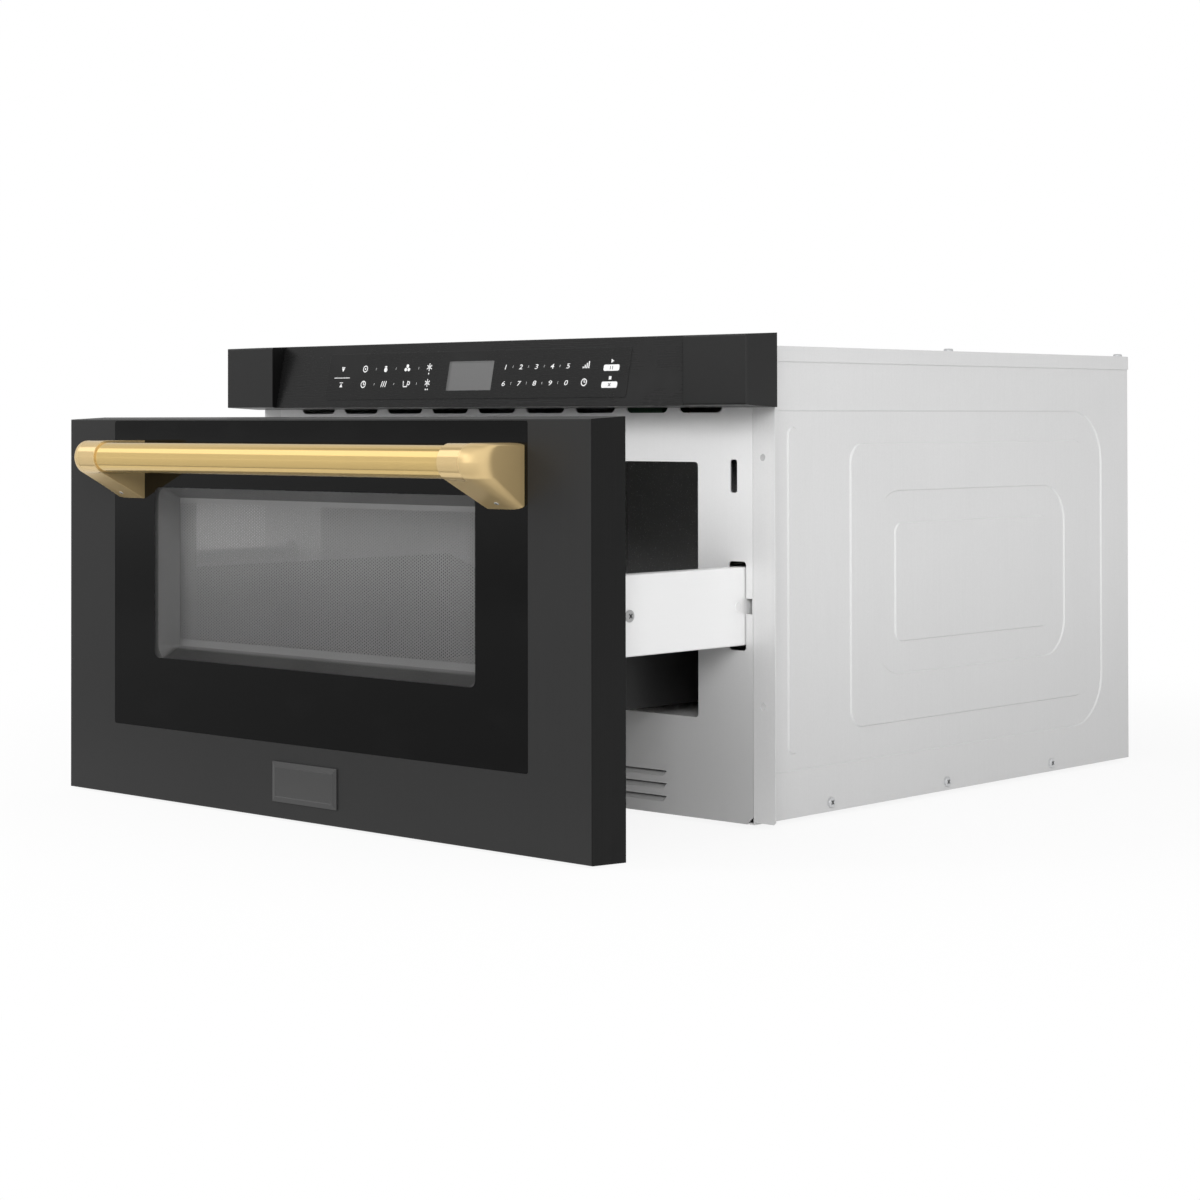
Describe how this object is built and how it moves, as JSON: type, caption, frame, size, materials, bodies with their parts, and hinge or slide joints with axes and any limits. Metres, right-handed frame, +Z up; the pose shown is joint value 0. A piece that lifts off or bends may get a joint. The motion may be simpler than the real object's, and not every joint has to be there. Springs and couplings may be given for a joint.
{
  "type": "microwave drawer",
  "caption": "Built-in microwave drawer with a bar handle, glass door, leaning touch panel, sheet-metal chassis and a motor-driven drawer on telescopic slides, drawn partly open.",
  "frame": {"origin": "centre of the chassis base's underside", "axes": "+X to the right seen from the front, +Y to the back, +Z up; the drawer opens towards -Y"},
  "size_m": [0.6064, 0.8132, 0.3808],
  "materials": {
    "sheet_steel": "galvanised sheet, satin",
    "cavity_enamel": "dark grey enamel",
    "screen_steel": "grey, perforated",
    "black_enamel": "black, satin",
    "black_glass": "dark tinted, polished",
    "touch_surface": "black, back printed, polished",
    "clear_sheet": "clear",
    "gold_metal": "polished gold plate",
    "bearing_steel": "zinc plated",
    "black_plastic": "matt black",
    "grey_plastic": "grey",
    "white_plastic": "natural acetal",
    "ceramic_plate": "white ceramic glass",
    "magnet_steel": "plated",
    "copper_tube": "bare copper",
    "fin_aluminium": "bare",
    "core_steel": "varnished laminations",
    "winding": "enamelled wire, taped",
    "circuit_board": "green lacquer",
    "rubber_black": "matt"
  },
  "bodies": {
    "chassis": {"front_plate": "sheet_steel", "side_panel_left": "sheet_steel", "side_panel_right": "sheet_steel", "top_cover": "sheet_steel", "back_panel": "sheet_steel", "base_plate": "sheet_steel", "chassis_screws": "bearing_steel", "cavity_liner": "cavity_enamel", "stirrer_well": "cavity_enamel", "stirrer_cover": "ceramic_plate", "waveguide": "sheet_steel", "stirrer_motor": "magnet_steel", "magnetron_yoke": "magnet_steel", "magnetron_fins": "fin_aluminium", "magnetron_tube": "copper_tube", "magnetron_filter": "magnet_steel", "transformer_core": "core_steel", "transformer_coils": "winding", "capacitor": "fin_aluminium", "fan_shroud": "black_plastic", "fan_motor": "core_steel", "control_panel_housing": "black_enamel", "touch_glass": "touch_surface", "panel_back": "black_plastic", "control_board": "circuit_board", "relay_board": "circuit_board", "noise_filter": "circuit_board", "cord_bushing": "rubber_black", "oven_lamp": "white_plastic", "thermal_cutouts": "black_plastic", "interlock_switches": "black_plastic", "interlock_brackets": "grey_plastic", "slide_mounts": "bearing_steel", "outer_slides": "bearing_steel", "drive_motor": "grey_plastic", "drive_bracket": "sheet_steel"},
    "drawer": {"door_frame": "black_enamel", "door_glass": "black_glass", "glass_support": "grey_plastic", "door_screen": "screen_steel", "inner_window": "clear_sheet", "door_inner_panel": "black_enamel", "choke_cover": "black_plastic", "handle_bar": "gold_metal", "handle_bracket_left": "gold_metal", "handle_bracket_right": "gold_metal", "handle_bolts": "bearing_steel", "drawer_rail_left": "sheet_steel", "drawer_rail_right": "sheet_steel", "rail_rivets": "bearing_steel", "inner_slides": "bearing_steel", "drive_rack": "white_plastic", "drawer_bin": "cavity_enamel", "floor_tray": "ceramic_plate", "interlock_fingers": "black_plastic"},
    "middle_slide_right": {"middle_slide_right": "bearing_steel"},
    "middle_slide_left": {"middle_slide_left": "bearing_steel"},
    "pinion": {"drive_pinion": "white_plastic"},
    "fan": {"fan_blade": "grey_plastic"},
    "stirrer": {"stirrer": "fin_aluminium"}
  },
  "joints": [
    {"name": "drawer_slide", "type": "slide", "parent": "chassis", "child": "drawer", "axis": [0, -1, 0], "range_m": [-0.1721, 0.209]},
    {"name": "middle_slide_right_travel", "type": "slide", "parent": "chassis", "child": "middle_slide_right", "axis": [0, -1, 0], "range_m": [-0.08606, 0.1046]},
    {"name": "middle_slide_left_travel", "type": "slide", "parent": "chassis", "child": "middle_slide_left", "axis": [0, -1, 0], "range_m": [-0.08606, 0.1046]},
    {"name": "pinion_spin", "type": "hinge", "parent": "chassis", "child": "pinion", "pos_m": [0.24504, -0.18253, 0.14], "axis": [0, 0, 1], "range_deg": [-1200, 990]},
    {"name": "fan_spin", "type": "hinge", "parent": "chassis", "child": "fan", "pos_m": [-0.078, 0.2032, 0.112], "axis": [1, 0, 0], "continuous": true},
    {"name": "stirrer_spin", "type": "hinge", "parent": "chassis", "child": "stirrer", "pos_m": [0, -0.0668, 0.06], "axis": [0, 0, 1], "continuous": true}
  ],
  "couplings": [
    {"joint": "middle_slide_right_travel", "follows": "drawer_slide", "ratio": 0.5},
    {"joint": "middle_slide_left_travel", "follows": "drawer_slide", "ratio": 0.5},
    {"joint": "pinion_spin", "follows": "drawer_slide", "rad_per_m": -100}
  ]
}
